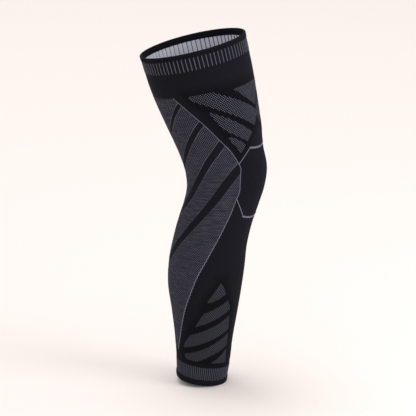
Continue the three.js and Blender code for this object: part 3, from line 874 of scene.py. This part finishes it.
def studio_paper():
    """Seamless backdrop paper: pale, matt and warm, with a faint tooth."""
    material = bpy.data.materials.new("pale_backdrop_paper")
    material.use_nodes = True
    tree = material.node_tree
    shader = tree.nodes["Principled BSDF"]
    shader.inputs["Specular IOR Level"].default_value = PAPER["gloss"]
    place = node(tree, "ShaderNodeTexCoord").outputs["Object"]
    tooth = {"Vector": place, "Scale": 1 / (PAPER["tooth"] * MM), "Detail": 2.0}
    tooth = node(tree, "ShaderNodeTexNoise", tooth).outputs[0]
    colour = {0: tooth, MIX_A: linear(PAPER["dark"]), MIX_B: linear(PAPER["light"])}
    colour = node(tree, "ShaderNodeMix", colour, data_type="RGBA").outputs[MIX_RESULT]
    tree.links.new(colour, shader.inputs["Base Color"])
    rough = {"Value": tooth, "To Min": PAPER["smoothest"], "To Max": PAPER["roughest"]}
    rough = node(tree, "ShaderNodeMapRange", rough).outputs[0]
    tree.links.new(rough, shader.inputs["Roughness"])
    return material


black_jersey = jacquard_knit("black_nylon_jersey", BLACK, "#5a5b68", 0.2, 0.8)
front_birdseye = jacquard_knit("front_birdseye_knit", "#0f1016", "#8e90a4", 0.13, 0.5, blend="#35363e")
shin_twill = jacquard_knit("shin_twill_knit", "#22232a", "#40414b", 0.2, 0.0, repeat=3.0, soft=0.15)
back_birdseye = jacquard_knit(
    "back_birdseye_knit", "#131319", "#6c6e7f", 0.2, 0.6, edge=0.6, tension=0.38, blend="#383943"
)
# Each yarn's two colours are its furrows in painted shade and its crowns in painted highlight.
reverse_knit = plain_yarn("reverse_of_jersey", "#24242b", "#5b5c69", 1.0, 1.0)
elastic_welt = plain_yarn("black_elastic_welt", "#0c0c11", "#1b1b23", 1.0, 2.0)
rib_ground = plain_yarn("black_rib_knit", "#0b0b10", "#20212a", 1.0, 2.0)
rib_yarn = plain_yarn("grey_rib_yarn", "#40414d", "#6e707f", 1.0, 0.5)
pad_yarn = plain_yarn("pale_rib_yarn", "#cbcee4", "#eceefc", 1.0, 0.5)
cuff_yarn = plain_yarn("grey_cuff_yarn", "#34353f", "#545563", 1.0, 0.5)
line_yarn = plain_yarn("light_line_yarn", "#5c5e6d", "#7d7f91", 1.0, 0.5)

# The knitted zones of the tube, with their cells, how grey each stitch is, and the face that shows.
ZONES = {
    "thigh_band": (cell_level > THIGH_BAND_BOTTOM, thigh_grey, front_birdseye),
    "thigh_front_panel": (front_cells & above_knee, thigh_grey, front_birdseye),
    "knee_panel": (front_cells & ~above_knee & ~below_knee, plain, black_jersey),
    "shin_panel": (front_cells & below_knee, shin_grey, shin_twill),
    "back_panel": (between_bands & (cell_share > 1), back_grey, back_birdseye),
    "ankle_band": (cell_level < PANELS_BOTTOM, shin_grey, shin_twill),
}
loops_tree = raised_loops_tree()
sleeve = {}
for name, (cells, grey, face) in ZONES.items():
    values = {"Loop Height": LOOP_HEIGHT * MM, "Face": face, "Reverse": reverse_knit}
    sleeve[name] = grown(name + "_knit", knit_mesh(name, cells, grey), loops_tree, values)

# The turned-over edges and the ribbed bands.
rim = rolled_profile(RIM_TOP, RIM_BOTTOM, **RIM_ROLL)
hem = rolled_profile(HEM_TOP, HEM_BOTTOM, **HEM_ROLL)
rib_band = wall_profile(RIM_BOTTOM, RIB_BAND_BOTTOM, **RIB_GROUND)
cuff = wall_profile(CUFF_TOP, HEM_TOP, **CUFF_GROUND)
sleeve["top_rim"] = piece("top_rim_welt", ring_wall_mesh("top_rim", rim), elastic_welt)
sleeve["ankle_hem"] = piece("ankle_hem_welt", ring_wall_mesh("ankle_hem", hem), elastic_welt)
sleeve["top_rib_band"] = piece("top_rib_ground", ring_wall_mesh("top_rib_band", rib_band), rib_ground)
sleeve["ankle_cuff"] = piece("ankle_cuff_ground", ring_wall_mesh("ankle_cuff", cuff), rib_ground)

ribs_tree = ribs_round_tree()


def ribs_round(name, top, bottom, proud, rib, yarn):
    """Ribs round the leg from top to bottom, standing out of the face that lies that far proud."""
    lean, roll = math.radians(rib["lean"]), math.radians(rib["roll"])
    length = np.linalg.norm(leg_point(90.0, top) - leg_point(90.0, bottom)) / math.cos(lean)
    values = {"Count": rib["count"], "Width": rib["width"] * MM, "Height": rib["height"] * MM}
    values = {**values, "Length": length, "Lean": lean, "Roll": roll, "Stitch": RIB_STITCH * MM, "Yarn": yarn}
    return grown(name, ring_path(name, (top + bottom) / 2, proud), ribs_tree, values)


# Ribs and pads run on under the turned-over edges, so that their ends are covered.
rib_face, pad_face = RIB_GROUND["outer"], RIB_GROUND["inner"] - PAD_LIFT
cuff_face = CUFF_GROUND["outer"]
pad_bottom = RIB_BAND_BOTTOM - PAD_TAIL
rim_face = RIM_ROLL["outer"]
top_ribs = ribs_round("top_ribs", RIM_BOTTOM + RIB_UNDERLAP, RIB_BAND_BOTTOM, rib_face, TOP_RIB, rib_yarn)
top_pads = ribs_round("top_grip_ribs", RIM_BOTTOM, pad_bottom, pad_face, TOP_PAD, pad_yarn)
cuff_ribs = ribs_round("cuff_ribs", CUFF_TOP, HEM_TOP - RIB_UNDERLAP, cuff_face, CUFF_RIB, cuff_yarn)
twill_top, twill_bottom = RIM_TOP - TWILL_MARGIN, RIM_BOTTOM + TWILL_MARGIN
rim_twill = ribs_round("rim_twill", twill_top, twill_bottom, rim_face, RIM_TWILL, elastic_welt)

# The raised lines.
stitches_tree = stitches_along_tree()


def stitched_line(name, turn, level, stitch, swell, swing):
    """A raised line of light yarn along the leg's skin."""
    values = {label.title(): size * MM for label, size in stitch.items()}
    values = {**values, "Zigzag": math.radians(CONTOUR_ZIGZAG), "Yarn": line_yarn}
    return grown(name + "_stitches", skin_path(name, turn, level, swell, swing), stitches_tree, values)


contour_levels = np.linspace(THIGH_BAND_BOTTOM, PANELS_BOTTOM, CONTOUR_POINTS)
contour_swell = np.interp(contour_levels, CONTOUR_CHANGE_LEVELS, CONTOUR_SWELL)
contour_swing = np.interp(contour_levels, CONTOUR_CHANGE_LEVELS, CONTOUR_SWING)
for name, sign in (("contour_line_outer", 1), ("contour_line_inner", -1)):
    turn = sign * contour_turn(contour_levels)
    sleeve[name] = stitched_line(name, turn, contour_levels, CONTOUR_STITCH, contour_swell, contour_swing)

shares = np.linspace(-1, 1, KNEE_LINE_POINTS)
for name, edge in (("knee_line_upper", KNEE_TOP), ("knee_line_lower", KNEE_BOTTOM)):
    level = knee_edge(np.abs(shares), edge)
    swell = np.where(np.abs(shares) < edge["corner_share"], KNEE_LINE_SWELL, 1.0)
    sleeve[name] = stitched_line(name, shares * contour_turn(level), level, KNEE_STITCH, swell, 0 * shares)

# Every piece rides on the one body and stands for its solid, whose own part is hidden.
TRIM = {"top_rim": [rim_twill], "top_rib_band": [top_ribs, top_pads], "ankle_cuff": [cuff_ribs]}
for name, obj in sleeve.items():
    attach(obj, BODY)
    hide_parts(name)
    for trim in TRIM.get(name, ()):
        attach(trim, BODY)


# Sheets: the relaxed knit before the leg stretches it.
# An end band has a little more knit than its height, and some that is turned in or runs under an edge.
BAND_KNIT = {"share": 1.1, "turned": 6}


def face_area(obj):
    """The area of one face of a closed wall, in square metres."""
    areas = np.empty(len(obj.data.polygons))
    obj.data.polygons.foreach_get("area", areas)
    return areas.sum() / 2


def declare_knit(name, width, length):
    """Works out one zone of knit as relaxed: its stretched width and length in millimetres give its flat size
    and area.
    """
    flat = (width / STRETCH_ROUND * MM, length / STRETCH_ALONG * MM)
    area = min(face_area(sleeve[name]) / STRETCH_ROUND / STRETCH_ALONG, flat[0] * flat[1])


for name, (cells, *_) in ZONES.items():
    widths = cells.sum(1) * girth(cell_level[:, 0]) / WALES
    height = np.ptp(outer_points[np.nonzero(cells.any(1))[0]], axis=(0, 1))[2] / MM
    declare_knit(name, widths.max(), height)
for name, top, bottom in (
    ("top_rim", RIM_TOP, RIM_BOTTOM),
    ("top_rib_band", RIM_BOTTOM, RIB_BAND_BOTTOM),
    ("ankle_cuff", CUFF_TOP, HEM_TOP),
    ("ankle_hem", HEM_TOP, HEM_BOTTOM),
):
    length = BAND_KNIT["share"] * (top - bottom) + BAND_KNIT["turned"]
    declare_knit(name, float(girth((top + bottom) / 2)), length)

# The floor under the hem, soft light from all round and from two sides, and a camera above the knee's height.
# A light's place is in metres from the knee: to the picture's right, nearer the camera, and up.
FLOOR_SIDE = 14.0
WORLD = {"colour": "#fffaf8", "strength": 0.775}
LIGHTS = {
    "overhead_softbox": {"right": -0.8, "near": -0.9, "up": 4.6, "aim_up": 0.0, "size": 2.2, "power": 67},
    "front_softbox": {"right": 1.65, "near": 0.763, "up": 0.789, "aim_up": -0.05, "size": 1.0, "power": 13},
}
CAMERA = {"turn": 68.8, "elevation": 17.4, "distance": 7.5, "lens": 437.5, "reach": 50}
CAMERA_AIM = {"right": -26.45, "up": -60.65}
floor_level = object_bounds()[0].z
floor_corners = np.array([(-1, -1), (1, -1), (1, 1), (-1, 1)]) * FLOOR_SIDE / 2
floor_points = np.column_stack((floor_corners, np.full(4, floor_level)))
floor_mesh = quad_mesh("studio_floor", floor_points, np.array([[0, 1, 2, 3]]))
floor_mesh.materials.append(studio_paper())
floor = bpy.data.objects.new("studio_floor", floor_mesh)
bpy.context.collection.objects.link(floor)

world = bpy.data.worlds.new("soft_studio")
world.use_nodes = True
world.node_tree.nodes["Background"].inputs["Color"].default_value = linear(WORLD["colour"])
world.node_tree.nodes["Background"].inputs["Strength"].default_value = WORLD["strength"]
scene = bpy.context.scene
scene.world = world
scene.view_settings.view_transform = "Standard"

turn, elevation = math.radians(CAMERA["turn"]), math.radians(CAMERA["elevation"])
level_way = Vector((-math.sin(turn), -math.cos(turn), 0))
toward = level_way * math.cos(elevation) + Vector((0, 0, math.sin(elevation)))
right = Vector((0, 0, 1)).cross(toward).normalized()
up = toward.cross(right)
aim = (right * CAMERA_AIM["right"] + up * CAMERA_AIM["up"]) * MM


def facing(place, target):
    """Puts a light or camera at a place, looking at a target."""
    turned = (target - place).to_track_quat("-Z", "Y").to_matrix().to_4x4()
    return Matrix.Translation(place) @ turned


def softbox(name, place, target, size, power):
    """A square soft light."""
    light = bpy.data.lights.new(name, "AREA")
    light.shape = "SQUARE"
    light.size = size
    light.energy = power
    lamp = bpy.data.objects.new(name, light)
    lamp.matrix_world = facing(place, target)
    bpy.context.collection.objects.link(lamp)


for name, light in LIGHTS.items():
    place = right * light["right"] + level_way * light["near"] + Vector((0, 0, light["up"]))
    softbox(name, place, Vector((0, 0, light["aim_up"])), light["size"], light["power"])

camera = bpy.data.cameras.new("photo_camera")
camera.lens = CAMERA["lens"]
camera.clip_end = CAMERA["reach"]
viewer = bpy.data.objects.new("photo_camera", camera)
viewer.matrix_world = facing(aim + toward * CAMERA["distance"], aim)
bpy.context.collection.objects.link(viewer)
scene.camera = viewer
